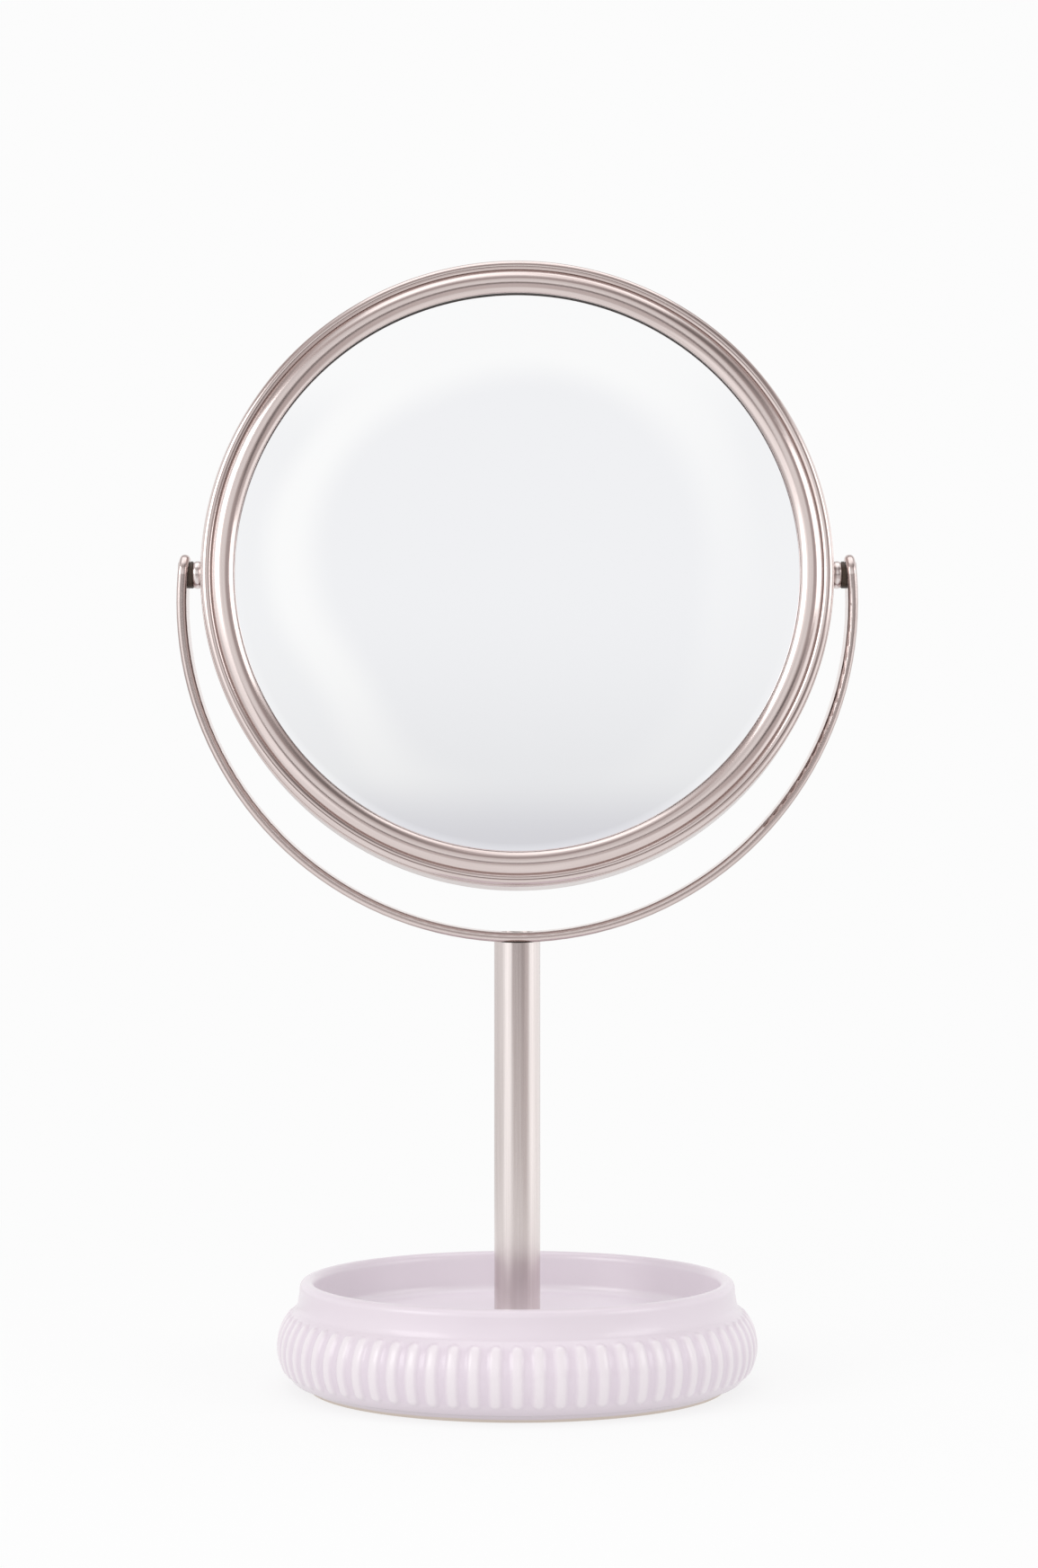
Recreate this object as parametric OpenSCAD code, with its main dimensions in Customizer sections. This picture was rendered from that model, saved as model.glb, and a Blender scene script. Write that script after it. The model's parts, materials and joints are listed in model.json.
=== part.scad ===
// Double-sided vanity mirror. The round head turns on two side pivots in a bent strip yoke,
// on a tube post that stands in a ribbed, glazed ceramic tray. Millimetres, +Z up.
// The origin is the middle of the foot, and the magnifying side of the head faces -Y.

/* [Head rim] */
// Outer diameter of the rim band
rim_d = 178; // [150:1:220]
// Height of the rim band between its two shoulders
rim_band_h = 14.4; // [13.4:0.1:24]
// Wall of the rim band
rim_wall = 1.2; // [0.8:0.1:1.4]
// Radius of the rounded shoulder
rim_corner_r = 0.9; // [0.6:0.1:1.5]
// Radius of the rolled edge
rim_roll_r = 1.3; // [1:0.05:1.5]
// Step of the rolled edge inside the band
rim_step = 0.8; // [0.4:0.1:1]
// Height of the roll's centre above the shoulder
rim_roll_rise = 1.6; // [1.2:0.1:2]
// Distance of the seam inside the band's outer radius
rim_seam = 3.1; // [2.9:0.1:3.3]
// Tilt of the head at rest, face up, in degrees
head_tilt = 6.4; // [0:0.1:30]

/* [Bezels] */
// Width of the half-round bezel bead
bezel_w = 6.6; // [5.5:0.1:8]
// Rise of the bead above its edges
bezel_rise = 1.7; // [1.2:0.1:2.2]
// Sheet thickness of a bezel
bezel_wall = 1; // [0.6:0.1:1.2]
// Height of the bead's crest above the rim's middle plane
bezel_crest = 11; // [10:0.1:14]
// Clearance between a bezel and the rim band
bezel_fit = 0.1; // [0.05:0.05:0.2]

/* [Glasses] */
// Distance of each glass face's edge from the rim's middle plane
glass_face = 7.4; // [7.2:0.1:7.6]
// Thickness of the plain glass
plain_t = 3; // [2:0.1:3.2]
// Thickness of the magnifying glass
magnifier_t = 2.5; // [2:0.1:2.8]
// Depth of the magnifying glass's dish
dish_depth = 4.7; // [2:0.05:4.85]
// Width of a glass edge that is covered by the bezel
glass_cover = 2.9; // [2:0.1:3.1]
// Width of the black seal on a glass edge
seal_w = 2.5; // [1.5:0.1:2.7]
// Setback of the seal from the bezel's inner edge
seal_setback = 0.3; // [0.1:0.1:0.6]
// Thickness of the seal
seal_t = 0.85; // [0.5:0.05:1.1]

/* [Carrier] */
// Thickness of the carrier's web
web_t = 1.8; // [1.2:0.1:2.2]
// Width of the ledge that carries each glass
ledge_w = 5; // [4:0.1:8]
// Number of pockets in the carrier's ring
pocket_count = 28; // [16:2:40]
// Wall between pockets and round them
pocket_wall = 1.5; // [1:0.1:2.5]
// Half angle round a pivot that is left without pockets
pivot_boss_angle = 12; // [10:1:20]
// Height of the carrier's shoulders above the rim's middle plane; the bezels' skirts end on them
carrier_top = 5.2; // [4.9:0.1:5.4]
// Clearance round a glass edge
glass_fit = 0.3; // [0.2:0.1:0.5]
// Depth of the relief under the edge of the dish
dish_relief = 0.6; // [0.4:0.1:1]
// Distance of the foam's outer edge inside the dish's edge
foam_setback = 13.2; // [8:0.1:20]
// Width of the foam ring behind the magnifying glass
front_foam_w = 16; // [8:1:20]
// Clearance between the foam ring and the dished glass
foam_fit = 0.1; // [0.05:0.05:0.2]

/* [Pivots] */
// Diameter of a pivot spacer
spacer_d = 7.6; // [7:0.1:9]
// Length of a pivot spacer
spacer_l = 2.6; // [2:0.1:5]
// Diameter of a pivot washer
washer_d = 7.6; // [7:0.1:9]
// Thickness of a pivot washer in the middle
washer_t = 1.2; // [1:0.1:2]
// Clearance between a washer and the bend of the yoke
washer_fit = 0.1; // [0.05:0.05:0.2]
// Shank diameter of a pivot screw
pivot_screw_d = 4; // [3:0.1:4.5]
// Countersunk head diameter of a pivot screw
pivot_head_d = 7.4; // [6.5:0.1:8]
// Countersunk head height of a pivot screw
pivot_head_h = 1.8; // [1.4:0.1:2]
// Radial clearance of a pivot screw in the yoke
pivot_fit = 0.05; // [0.02:0.01:0.1]
// Gap under a turning countersunk head
head_gap = 0.12; // [0.08:0.01:0.3]
// Length of thread in an insert
pivot_thread_l = 6; // [4:0.5:7]
// Outer diameter of a threaded insert
insert_d = 6.4; // [5.6:0.1:7]
// Length of a threaded insert
insert_l = 7.5; // [6:0.1:8]
// Width across flats of the pivot screw socket
pivot_socket = 2.5; // [2:0.1:3]

/* [Yoke] */
// Width of the yoke strip, front to back
strip_w = 11.5; // [10:0.5:16]
// Thickness of the yoke strip
strip_t = 2.8; // [2.5:0.1:4]
// Edge rounding of the strip
strip_edge_r = 1.2; // [0.4:0.1:1.2]
// Height of the pivots above the centre of the yoke's bend
pivot_rise = 7.8; // [2:0.1:20]

/* [Post] */
// Height of the pivot axis above the surface that the mirror stands on
pivot_z = 229.1; // [215:0.5:280]
// Outer diameter of the post
post_d = 13; // [12:0.5:20]
// Wall of the post
post_wall = 1; // [0.8:0.1:2]
// Length of each plug in the post
plug_l = 14; // [10:1:24]
// Clearance of a plug in the post
plug_fit = 0.02; // [0.01:0.01:0.1]
// Thread diameter of the yoke screw
yoke_screw_d = 5; // [4:0.5:6]
// Countersunk head diameter of the yoke screw
yoke_head_d = 9; // [8:0.1:10]
// Countersunk head height of the yoke screw
yoke_head_h = 2.2; // [1.8:0.1:2.4]
// Thread length of the yoke screw in the plug
yoke_thread_l = 9; // [6:1:10]
// Width across flats of the yoke screw socket
yoke_socket = 3; // [2.5:0.1:4]
// Radial clearance of threads and fastener holes
thread_fit = 0.05; // [0.02:0.01:0.1]

/* [Tray] */
// Greatest radius of the belly between the ribs
belly_r = 67.2; // [60:0.1:90]
// Radius of the belly's outer curve
belly_curve_r = 13.4; // [12:0.1:14]
// Height of the belly's widest line
belly_z = 12; // [11:0.1:14]
// Height of the rim's crest
tray_h = 30.2; // [28:0.1:40]
// Radius of the rolled rim edge
tray_rim_r = 2.1; // [1.5:0.1:2.5]
// Distance of the rim's outer edge inside the belly
rim_inset = 5.8; // [4:0.1:8]
// Outward slope of the collar from its top to the belly
collar_flare = 0.8; // [0:0.1:1.5]
// Height of the tray floor
floor_z = 18; // [16:0.1:20]
// Thickness of the tray floor
floor_t = 5; // [4:0.1:6]
// Fillet between the floor and the wall
floor_fillet_r = 3; // [1:0.1:5]
// Wall of the belly over the hollow underside
belly_wall = 5; // [4:0.1:6]
// Height of the foot ring
foot_h = 2.3; // [1.5:0.1:3]
// Outer radius of the foot's face
foot_r = 58.8; // [50:0.1:59.5]
// Width of the foot's face
foot_w = 3.6; // [3:0.1:5]

/* [Tray ribs] */
// Number of ribs
rib_count = 72; // [36:1:80]
// Radius of a rib's section
rib_r = 2.6; // [2:0.1:3]
// Height of a rib above the belly
rib_proud = 0.6; // [0.3:0.1:0.8]
// Height of the upper end of the ribs
rib_top_z = 21; // [18:0.1:21.5]
// Height of the lower end of the ribs
rib_low_z = 4.6; // [4.4:0.1:8]

/* [Underside] */
// Depth of the rebate that holds the felt pad
pad_rebate = 1.6; // [1.2:0.1:2]
// Thickness of the felt pad
pad_t = 1.2; // [0.8:0.1:1.2]
// Width of the rebate's shoulder
pad_shoulder = 1; // [0.6:0.1:1.5]
// Clearance round the felt pad
pad_fit = 0.3; // [0.1:0.1:0.5]
// Thread diameter of the base bolt
bolt_d = 6; // [5:0.5:8]
// Thread length of the base bolt in the plug
bolt_thread_l = 9; // [6:1:10]
// Width across flats of the bolt head
bolt_head_af = 10; // [8:0.5:13]
// Height of the bolt head
bolt_head_h = 4; // [3:0.1:5]
// Diameter of the steel clamp washer
clamp_washer_d = 30; // [20:1:50]
// Thickness of the steel clamp washer
clamp_washer_t = 1.6; // [1:0.1:3]
// Diameter of the rubber washer under the floor
rubber_washer_d = 28; // [18:1:50]
// Thickness of the rubber washer under the floor
rubber_washer_t = 1; // [0.5:0.1:2]
// Thickness of the gasket between the post and the floor
gasket_t = 0.8; // [0.5:0.1:2]
// Radial clearance of the bolt in the tray's hole
bolt_hole_fit = 0.8; // [0.3:0.1:1.5]

/* [Hidden] */
$fn = 96;
fine_fn = 1440;
rib_fn = 32;
eps = 0.01;
carrier_wall_drop = 0.4;
screw_head_sink = 0.15;
gasket_inset = 0.2;
foot_edge = 0.4;
section_lap = 0.5;
rib_run_a = 18;
yoke_overrun_a = 1;
socket_share = 0.8;

rim_r = rim_d / 2;
rim_half = rim_band_h / 2;
rim_in_r = rim_r - rim_wall;
roll_r = rim_r - rim_step - rim_roll_r;
roll_d = rim_half + rim_roll_rise;
seam_r = rim_r - rim_seam;
flange_d = rim_half - rim_wall;

bezel_r = seam_r - bezel_fit;
bezel_mid_r = bezel_r - bezel_w / 2;
bezel_in_r = bezel_r - bezel_w;
bead_r = (pow(bezel_w / 2, 2) + pow(bezel_rise, 2)) / (2 * bezel_rise);
bead_d = bezel_crest - bead_r;
bead_edge = bezel_crest - bezel_rise;
lip_d = glass_face + seal_t;

glass_r = bezel_in_r + glass_cover;
dish_r = bezel_in_r - seal_setback;
magnifier_curve_r = (pow(dish_r, 2) + pow(dish_depth, 2)) / (2 * dish_depth);
dish_centre_d = glass_face - dish_depth + magnifier_curve_r;
magnifier_back = glass_face - magnifier_t;
plain_back = glass_face - plain_t;
carrier_r = rim_in_r - bezel_fit;
carrier_wall_r = bezel_r - bezel_wall - bezel_fit;
ledge_in_r = glass_r + glass_fit - ledge_w;
carrier_wall_top = glass_face - carrier_wall_drop;
dish_back_r = sqrt(pow(magnifier_curve_r + magnifier_t, 2) - pow(dish_centre_d - magnifier_back, 2));
foam_out_r = dish_r - foam_setback;
function dish_back(r) = dish_centre_d - sqrt(pow(magnifier_curve_r + magnifier_t, 2) - pow(r, 2))
                        - foam_fit;

pivot_x = rim_r;
pivot_seat_x = pivot_x + spacer_l + washer_t;
yoke_in_r = sqrt(pow(pivot_seat_x, 2) + pow(pivot_rise, 2));
yoke_r = yoke_in_r + strip_t;
yoke_mid_r = yoke_in_r + strip_t / 2;
yoke_z = pivot_z - pivot_rise;
yoke_end_a = asin(pivot_rise / yoke_mid_r);
pivot_face_x = sqrt(pow(yoke_r, 2) - pow(pivot_rise, 2));
insert_x = rim_in_r - bezel_fit - insert_l;
screw_tip_x = insert_x + insert_l - pivot_thread_l;

yoke_bottom_z = yoke_z - yoke_r;
yoke_head_top_z = yoke_bottom_z + strip_t - screw_head_sink;
post_r = post_d / 2;
plug_r = post_r - post_wall - plug_fit;
post_low_z = floor_z + gasket_t;
post_saddle_z = yoke_z - sqrt(pow(yoke_r, 2) - pow(post_r, 2));

belly_c = belly_r - belly_curve_r;
tray_rim_c = belly_r - rim_inset - tray_rim_r;
tray_rim_z = tray_h - tray_rim_r;
tray_wall_in = tray_rim_c - tray_rim_r;
ceiling_z = floor_z - floor_t;
cavity_r = foot_r - foot_w - pad_shoulder;
rebate_r = foot_r - foot_w;
clamp_z = ceiling_z - rubber_washer_t - clamp_washer_t;
rib_top_a = asin((rib_top_z - belly_z) / belly_curve_r);
rib_low_a = asin((rib_low_z - belly_z) / belly_curve_r);
rib_mid_a = (rib_top_a + rib_low_a) / 2;
rib_half_a = (rib_top_a - rib_low_a) / 2;
rib_crest_r = belly_curve_r + rib_proud;
rib_shift = (pow(rib_crest_r, 2) - pow(belly_curve_r, 2))
            / (2 * (rib_crest_r - belly_curve_r * cos(rib_half_a)));
rib_path_r = rib_crest_r - rib_shift - rib_r;
rib_sweep = 2 * (rib_half_a + rib_run_a);

steel = [0.78, 0.72, 0.71];
dark_steel = [0.55, 0.54, 0.53];
glaze = [0.87, 0.83, 0.88];
mirror_silver = [0.93, 0.94, 0.95];
black_rubber = [0.07, 0.07, 0.07];
white_plastic = [0.9, 0.9, 0.88];
foam_grey = [0.45, 0.45, 0.47];
brass = [0.78, 0.63, 0.35];
felt_grey = [0.35, 0.33, 0.34];

// A flat ring from z = low to z = high
module ring(in_r, out_r, low, high) {
    translate([0, 0, low])
        difference() {
            cylinder(r = out_r, h = high - low);
            translate([0, 0, -1]) cylinder(r = in_r, h = high - low + 2);
        }
}

// Places a child drawn round the head's own axis, whose +Z points out of the front glass
module on_head() {
    translate([0, 0, pivot_z]) rotate([90 - head_tilt, 0, 0]) children();
}

// Places a child drawn along +X at the right pivot (side = 1) or the left one (side = -1)
module at_pivot(side) {
    translate([0, 0, pivot_z]) rotate([0, 0, side > 0 ? 0 : 180]) children();
}

// A round bar along +X from x0 to x1
module bar_x(r, x0, x1) {
    translate([x0, 0, 0]) rotate([0, 90, 0]) cylinder(r = r, h = x1 - x0);
}

// One half of the rim band's outer outline: wall, rounded shoulder and rolled edge
module rim_half_section() {
    square([rim_r, rim_half - rim_corner_r]);
    square([rim_r - rim_corner_r, rim_half]);
    translate([rim_r - rim_corner_r, rim_half - rim_corner_r]) circle(r = rim_corner_r);
    square([roll_r + rim_roll_r, roll_d]);
    translate([roll_r, roll_d]) circle(r = rim_roll_r);
}

// Rim band with a rounded shoulder and a rolled edge on both sides
module rim_band() {
    color(steel) on_head() difference() {
        rotate_extrude() difference() {
            union() {
                rim_half_section();
                mirror([0, 1]) rim_half_section();
            }
            translate([-1, -flange_d]) square([rim_in_r + 1, 2 * flange_d]);
            translate([-1, -roll_d - rim_roll_r - 1])
                square([seam_r + 1, 2 * (roll_d + rim_roll_r + 1)]);
        }
        for (side = [0, 180])
            rotate([0, 0, side])
                bar_x(pivot_screw_d / 2 + 2 * thread_fit, rim_in_r - 2, rim_r + 1);
    }
}

// Half-round bead with a skirt inside the band and a lip over the glass
module bezel_section() {
    difference() {
        union() {
            intersection() {
                translate([bezel_mid_r, bead_d]) circle(r = bead_r);
                translate([bezel_in_r - 1, bead_edge]) square([bezel_w + 2, bezel_rise + 1]);
            }
            translate([bezel_r - bezel_wall, carrier_top])
                square([bezel_wall, bead_edge - carrier_top + eps]);
            translate([bezel_in_r, lip_d]) square([bezel_wall, bead_edge - lip_d + eps]);
        }
        intersection() {
            translate([bezel_mid_r, bead_d]) circle(r = bead_r - bezel_wall);
            translate([bezel_in_r + bezel_wall, carrier_top])
                square([bezel_w - 2 * bezel_wall, bezel_crest]);
        }
    }
}

module bezel() {
    rotate_extrude() bezel_section();
}

module front_bezel() {
    color(steel) on_head() bezel();
}

module rear_bezel() {
    color(steel) on_head() mirror([0, 0, 1]) bezel();
}

// Flat black ring between a bezel's lip and the glass
module seal() {
    seal_in = bezel_in_r + seal_setback;
    ring(seal_in, min(seal_in + seal_w, glass_r), glass_face, lip_d);
}

module front_seal() {
    color(black_rubber) on_head() seal();
}

module rear_seal() {
    color(black_rubber) on_head() mirror([0, 0, 1]) seal();
}

// Dished plate with a flat edge; its hollow side faces out
module magnifying_glass() {
    color(mirror_silver) on_head() rotate_extrude() difference() {
        union() {
            translate([0, magnifier_back]) square([glass_r, magnifier_t]);
            intersection() {
                translate([0, dish_centre_d])
                    circle(r = magnifier_curve_r + magnifier_t, $fn = fine_fn);
                translate([0, magnifier_back - dish_depth - 1])
                    square([dish_r, dish_depth + 1 + eps]);
            }
        }
        intersection() {
            translate([0, dish_centre_d]) circle(r = magnifier_curve_r, $fn = fine_fn);
            translate([0, glass_face - dish_depth - 1]) square([glass_r + 1, dish_depth + 3]);
        }
    }
}

module plain_glass() {
    color(mirror_silver) on_head()
        translate([0, 0, -glass_face]) cylinder(r = glass_r, h = plain_t);
}

// One lightening pocket of the carrier, open to the rear
module carrier_pocket() {
    pocket_a = 360 / pocket_count;
    wall_a = pocket_wall / (ledge_in_r + pocket_wall) * 180 / PI;
    rotate([0, 0, wall_a / 2 - pocket_a / 2])
        rotate_extrude(angle = pocket_a - wall_a)
            translate([ledge_in_r + pocket_wall, -carrier_top - 1])
                square([carrier_r - ledge_in_r - 2 * pocket_wall,
                        carrier_top + 1 + magnifier_back - 2 * pocket_wall]);
}

// Moulded disc that spaces the two glasses and holds the pivot inserts
module mirror_carrier() {
    color(white_plastic) on_head() difference() {
        rotate_extrude() {
            translate([0, -web_t]) square([ledge_in_r + eps, web_t]);
            translate([ledge_in_r, -plain_back])
                square([carrier_wall_r - ledge_in_r, plain_back + magnifier_back]);
            translate([glass_r + glass_fit, -carrier_top])
                square([carrier_r - glass_r - glass_fit, 2 * carrier_top]);
            translate([glass_r + glass_fit, -carrier_wall_top])
                square([carrier_wall_r - glass_r - glass_fit, 2 * carrier_wall_top]);
        }
        translate([0, 0, magnifier_back]) cylinder(r = glass_r + glass_fit, h = carrier_top);
        translate([0, 0, magnifier_back - dish_relief])
            cylinder(r = dish_back_r + glass_fit, h = carrier_top);
        for (i = [0 : pocket_count - 1]) {
            a = (i + 0.5) * 360 / pocket_count;
            if (abs(sin(a)) > sin(pivot_boss_angle)) rotate([0, 0, a]) carrier_pocket();
        }
        for (side = [0, 180])
            rotate([0, 0, side]) {
                bar_x(insert_d / 2 + thread_fit, insert_x, rim_r);
                bar_x(pivot_screw_d / 2 + 2 * thread_fit, screw_tip_x - 1, rim_r);
            }
    }
}

// Foam ring that is glued between the web and the dished back of the magnifying glass
module front_foam() {
    foam_in_r = foam_out_r - front_foam_w;
    color(foam_grey) on_head() rotate_extrude()
        polygon([[foam_in_r, 0], [foam_out_r, 0], [foam_out_r, dish_back(foam_out_r)],
                 [foam_in_r, dish_back(foam_in_r)]]);
}

// Foam disc that is glued between the web and the plain glass
module rear_foam() {
    color(foam_grey) on_head()
        translate([0, 0, -plain_back]) cylinder(r = foam_out_r, h = plain_back - web_t);
}

// Countersunk screw along +X, head outermost, with its hexagon socket
module pivot_screw(side) {
    color(dark_steel) at_pivot(side) difference() {
        union() {
            bar_x(pivot_screw_d / 2, screw_tip_x, pivot_face_x - pivot_head_h + eps);
            translate([pivot_face_x - pivot_head_h, 0, 0]) rotate([0, 90, 0])
                cylinder(r1 = pivot_screw_d / 2, r2 = pivot_head_d / 2, h = pivot_head_h);
        }
        translate([pivot_face_x - pivot_head_h * socket_share, 0, 0]) rotate([0, 90, 0])
            cylinder(d = pivot_socket / cos(30), h = pivot_head_h, $fn = 6);
    }
}

module pivot_screw_left() {
    pivot_screw(-1);
}

module pivot_screw_right() {
    pivot_screw(1);
}

// Round spacer between the rim band and the washer
module pivot_spacer(side) {
    color(steel) at_pivot(side) rotate([0, 90, 0])
        ring(pivot_screw_d / 2 + thread_fit, spacer_d / 2, pivot_x, pivot_x + spacer_l);
}

module pivot_spacer_left() {
    pivot_spacer(-1);
}

module pivot_spacer_right() {
    pivot_spacer(1);
}

// Friction washer on the spacer; its outer side follows the bend of the yoke
module pivot_washer(side) {
    color(black_rubber) intersection() {
        at_pivot(side) rotate([0, 90, 0])
            ring(pivot_screw_d / 2 + pivot_fit, washer_d / 2, pivot_x + spacer_l, yoke_in_r);
        translate([0, washer_d, yoke_z]) rotate([90, 0, 0])
            cylinder(r = yoke_in_r - washer_fit, h = 2 * washer_d, $fn = fine_fn);
    }
}

module pivot_washer_left() {
    pivot_washer(-1);
}

module pivot_washer_right() {
    pivot_washer(1);
}

// Threaded insert in the carrier
module pivot_insert(side) {
    color(brass) at_pivot(side) rotate([0, 90, 0])
        ring(pivot_screw_d / 2 + thread_fit, insert_d / 2, insert_x, insert_x + insert_l);
}

module pivot_insert_left() {
    pivot_insert(-1);
}

module pivot_insert_right() {
    pivot_insert(1);
}

// Section of the yoke strip: x is its thickness and y its width, with rounded edges
module strip_section() {
    square([strip_t - 2 * strip_edge_r, strip_w], center = true);
    square([strip_t, strip_w - 2 * strip_edge_r], center = true);
    for (x = [-1, 1])
        for (y = [-1, 1])
            translate([x * (strip_t / 2 - strip_edge_r), y * (strip_w / 2 - strip_edge_r)])
                circle(r = strip_edge_r, $fn = 48);
}

// Places a child at the right end of the yoke's bend, with its +Z along the strip
module at_yoke_end() {
    translate([0, 0, yoke_z]) rotate([0, -yoke_end_a, 0]) translate([yoke_mid_r, 0, 0])
        children();
}

// Full-radius end of the yoke round a pivot, square to the bend
module yoke_end() {
    at_yoke_end() rotate([0, 90, 0]) rotate([0, 0, 90])
        rotate_extrude(angle = 180) intersection() {
            rotate([0, 0, 90]) strip_section();
            translate([0, -strip_t]) square([strip_w, 2 * strip_t]);
        }
}

// Cuts the bend off square where the full-radius end starts
module yoke_end_cut() {
    at_yoke_end() translate([-strip_t, -strip_w, 0])
        cube([2 * strip_t, 2 * strip_w, strip_w]);
}

// Bend of the yoke, drawn a little too long and then cut to length
module yoke_bend() {
    yoke_run_a = yoke_end_a + yoke_overrun_a;
    difference() {
        translate([0, 0, yoke_z]) rotate([90, 0, 0]) rotate([0, 0, 180 - yoke_run_a])
            rotate_extrude(angle = 180 + 2 * yoke_run_a)
                translate([yoke_mid_r, 0]) strip_section();
        yoke_end_cut();
        mirror([1, 0, 0]) yoke_end_cut();
    }
}

module yoke() {
    color(steel) difference() {
        union() {
            yoke_bend();
            yoke_end();
            mirror([1, 0, 0]) yoke_end();
        }
        for (side = [-1, 1])
            at_pivot(side) {
                bar_x(pivot_screw_d / 2 + pivot_fit, pivot_seat_x - 1, yoke_r + 1);
                translate([pivot_face_x - pivot_head_h - head_gap, 0, 0]) rotate([0, 90, 0])
                    cylinder(r1 = pivot_screw_d / 2, r2 = pivot_head_d / 2 + head_gap,
                             h = pivot_head_h + head_gap + eps);
                bar_x(pivot_head_d / 2 + head_gap, pivot_face_x, yoke_r + 1);
            }
        translate([0, 0, yoke_bottom_z - 1])
            cylinder(r = yoke_screw_d / 2 + 4 * thread_fit, h = strip_t + 2);
        translate([0, 0, yoke_head_top_z - yoke_head_h - thread_fit])
            cylinder(r1 = yoke_screw_d / 2, r2 = yoke_head_d / 2 + thread_fit,
                     h = yoke_head_h + thread_fit);
        translate([0, 0, yoke_head_top_z - eps])
            cylinder(r = yoke_head_d / 2 + thread_fit, h = 1);
    }
}

// Countersunk screw that holds the yoke on the post
module yoke_screw() {
    color(dark_steel) difference() {
        union() {
            translate([0, 0, yoke_bottom_z - yoke_thread_l])
                cylinder(r = yoke_screw_d / 2, h = yoke_thread_l + strip_t - yoke_head_h);
            translate([0, 0, yoke_head_top_z - yoke_head_h])
                cylinder(r1 = yoke_screw_d / 2, r2 = yoke_head_d / 2, h = yoke_head_h);
        }
        translate([0, 0, yoke_head_top_z - yoke_head_h * socket_share])
            cylinder(d = yoke_socket / cos(30), h = yoke_head_h, $fn = 6);
    }
}

// Cuts a child to the underside of the yoke's bend
module under_yoke() {
    difference() {
        children();
        translate([0, post_d, yoke_z]) rotate([90, 0, 0])
            cylinder(r = yoke_r, h = 2 * post_d, $fn = fine_fn);
    }
}

module post_tube() {
    color(steel) under_yoke()
        ring(post_r - post_wall, post_r, post_low_z, post_saddle_z + 1);
}

// Threaded plug that is fixed in the top of the post
module post_top_plug() {
    color(dark_steel) under_yoke()
        ring(yoke_screw_d / 2 + thread_fit, plug_r, yoke_bottom_z - plug_l, post_saddle_z);
}

// Threaded plug that is fixed in the foot of the post
module post_bottom_plug() {
    color(dark_steel)
        ring(bolt_d / 2 + thread_fit, plug_r, post_low_z, post_low_z + plug_l);
}

// Soft ring between the post and the glaze
module post_gasket() {
    color(black_rubber)
        ring(bolt_d / 2 + bolt_hole_fit, post_r - gasket_inset, floor_z, post_low_z);
}

// Outline of the tray: rolled edge, collar, belly and foot, with the tray's hollow cut out
module tray_section() {
    collar_z = belly_z + sqrt(pow(belly_curve_r, 2) - pow(tray_rim_c + tray_rim_r
                                                          + collar_flare - belly_c, 2));
    foot_top_r = foot_r + foot_h;
    difference() {
        union() {
            intersection() {
                translate([belly_c, belly_z]) circle(r = belly_curve_r);
                translate([0, foot_h]) square([2 * belly_r, 2 * belly_curve_r]);
            }
            polygon([[0, foot_h], [foot_top_r, foot_h + section_lap], [foot_top_r, foot_h],
                     [foot_r + foot_edge, foot_edge], [foot_r, 0], [0, 0]]);
            polygon([[0, foot_h], [belly_c, foot_h], [tray_rim_c + tray_rim_r + collar_flare,
                      collar_z - section_lap], [tray_rim_c + tray_rim_r, tray_rim_z], [0, tray_rim_z]]);
            translate([tray_rim_c, tray_rim_z]) circle(r = tray_rim_r);
        }
        translate([-1, floor_z]) square([tray_wall_in + 1 - floor_fillet_r, tray_h]);
        translate([-1, floor_z + floor_fillet_r]) square([tray_wall_in + 1, tray_h]);
        translate([tray_wall_in - floor_fillet_r, floor_z + floor_fillet_r])
            circle(r = floor_fillet_r);
    }
}

// Hollow underside: an even wall round the belly, the foot's mouth and the pad's rebate
module tray_underside() {
    translate([-1, -1]) square([cavity_r + 1, ceiling_z + 1]);
    translate([-1, -1]) square([rebate_r + 1, pad_rebate + 1]);
    intersection() {
        translate([belly_c, belly_z]) circle(r = belly_curve_r - belly_wall);
        translate([0, 0]) square([2 * belly_r, ceiling_z]);
    }
}

// One rib, bent round the belly on a tighter circle, so that both its ends run out in the wall
module tray_rib() {
    translate([belly_c, 0, belly_z]) rotate([90, 0, 0]) rotate([0, 0, rib_mid_a])
        translate([rib_shift, 0, 0]) rotate([0, 0, -rib_sweep / 2])
            rotate_extrude(angle = rib_sweep)
                translate([rib_path_r, 0]) circle(r = rib_r, $fn = rib_fn);
}

module base_tray() {
    color(glaze) difference() {
        union() {
            rotate_extrude() tray_section();
            for (i = [0 : rib_count - 1]) rotate([0, 0, i * 360 / rib_count]) tray_rib();
        }
        rotate_extrude() intersection() {
            tray_underside();
            translate([0, -1]) square([2 * belly_r, tray_h]);
        }
        translate([0, 0, ceiling_z - 1])
            cylinder(r = bolt_d / 2 + bolt_hole_fit, h = floor_t + 2);
    }
}

// Felt disc in the foot's rebate
module base_pad() {
    color(felt_grey) translate([0, 0, pad_rebate - pad_t])
        cylinder(r = rebate_r - pad_fit, h = pad_t);
}

module base_rubber_washer() {
    color(black_rubber)
        ring(bolt_d / 2 + thread_fit, rubber_washer_d / 2, ceiling_z - rubber_washer_t,
             ceiling_z);
}

module base_clamp_washer() {
    color(dark_steel)
        ring(bolt_d / 2 + thread_fit, clamp_washer_d / 2, clamp_z, clamp_z + clamp_washer_t);
}

// Hexagon bolt that clamps the tray to the post from below
module base_bolt() {
    color(dark_steel) {
        translate([0, 0, clamp_z - bolt_head_h])
            cylinder(d = bolt_head_af / cos(30), h = bolt_head_h, $fn = 6);
        translate([0, 0, clamp_z - eps])
            cylinder(r = bolt_d / 2, h = post_low_z - clamp_z + bolt_thread_l + eps);
    }
}

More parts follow.
